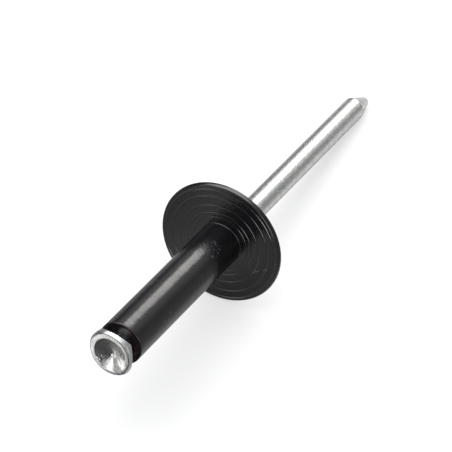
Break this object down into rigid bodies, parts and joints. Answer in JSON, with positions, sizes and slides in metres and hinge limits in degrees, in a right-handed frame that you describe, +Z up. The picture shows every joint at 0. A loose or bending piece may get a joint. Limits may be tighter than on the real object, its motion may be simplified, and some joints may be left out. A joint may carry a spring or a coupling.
{
  "type": "blind rivet",
  "caption": "Unset large-flange blind rivet: a hollow black aluminium body with a round washer-like flange on a pointed steel mandrel with a dimpled head.",
  "frame": {"origin": "middle of the lying rivet's bounding box, on the floor that its flange rim and the tail of its mandrel rest on", "axes": "+X along the floor towards the mandrel head, +Y to the left seen from the tail, +Z up; the rivet's own axis rises towards the head by 10.40 degrees from +X in the XZ plane"},
  "size_m": [0.0564, 0.014, 0.0138],
  "materials": {
    "body_paint": "gloss",
    "mandrel_steel": "satin"
  },
  "bodies": {
    "root": {"rivet_body": "body_paint", "mandrel": "mandrel_steel"}
  },
  "joints": []
}
